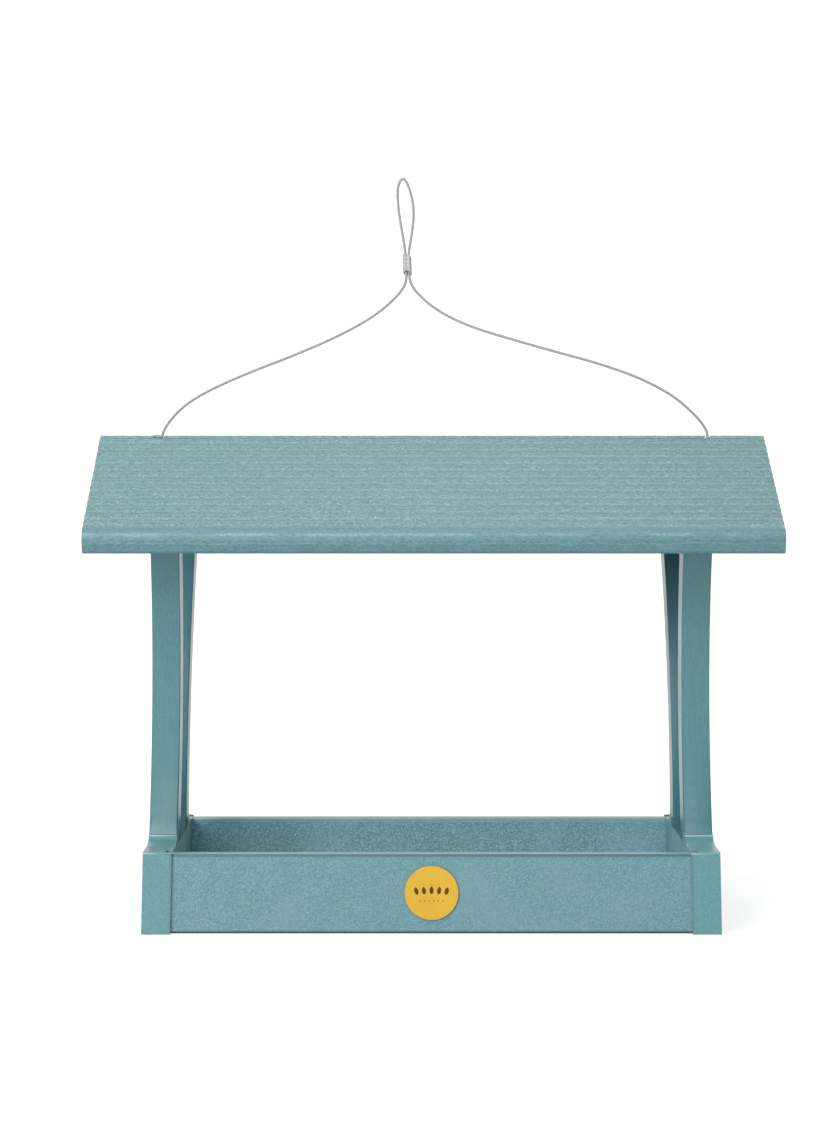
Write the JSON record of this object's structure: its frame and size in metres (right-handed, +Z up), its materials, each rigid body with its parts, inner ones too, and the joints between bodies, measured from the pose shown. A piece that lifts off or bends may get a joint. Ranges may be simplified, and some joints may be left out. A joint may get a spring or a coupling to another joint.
{
  "type": "fly-through bird feeder",
  "caption": "Hanging fly-through platform bird feeder: ribbed gable roof on two waisted end frames, a shallow seed tray with a lift-out floor, and a looped wire cable.",
  "frame": {"origin": "on the floor under the middle of the feeder", "axes": "+X along the ridge, front faces -Y, +Z up"},
  "size_m": [0.4576, 0.2522, 0.5055],
  "materials": {
    "frame_plastic": "smooth satin teal plastic lumber",
    "tray_plastic": "teal plastic lumber with a fine pebbled skin",
    "roof_plastic": "teal plastic lumber, ribbed and brushed along the grain",
    "rail_plastic": "sawn teal plastic lumber",
    "pan_metal": "mill finish sheet",
    "badge_plastic": "glossy yellow with a pale rim",
    "wire_rope": "bright stranded wire rope",
    "sleeve_metal": "crimped soft aluminium",
    "lug_metal": "plated steel",
    "screw_steel": "stainless steel"
  },
  "bodies": {
    "feeder": {"badge": "badge_plastic", "cable_lug_left": "lug_metal", "cable_lug_right": "lug_metal", "corner_screws_back_left": "screw_steel", "corner_screws_back_right": "screw_steel", "corner_screws_front_left": "screw_steel", "corner_screws_front_right": "screw_steel", "end_frame_left": "frame_plastic", "end_frame_right": "frame_plastic", "floor_rail_back": "rail_plastic", "floor_rail_front": "rail_plastic", "floor_rail_left": "rail_plastic", "floor_rail_right": "rail_plastic", "hanging_cable": "wire_rope", "loop_sleeve": "sleeve_metal", "lug_screw_left": "screw_steel", "lug_screw_right": "screw_steel", "lug_washer_left": "lug_metal", "lug_washer_right": "lug_metal", "rail_screws_back": "screw_steel", "rail_screws_front": "screw_steel", "rail_screws_left": "screw_steel", "rail_screws_right": "screw_steel", "roof_board_back": "roof_plastic", "roof_board_front": "roof_plastic", "roof_screws_back_left": "screw_steel", "roof_screws_back_right": "screw_steel", "roof_screws_front_left": "screw_steel", "roof_screws_front_right": "screw_steel", "tray_board_back": "tray_plastic", "tray_board_front": "tray_plastic"},
    "floor": {"floor_pan": "pan_metal"}
  },
  "joints": [
    {"name": "floor_lift", "type": "slide", "parent": "feeder", "child": "floor", "axis": [0, 0, 1], "range_m": [0, 0.1]}
  ]
}
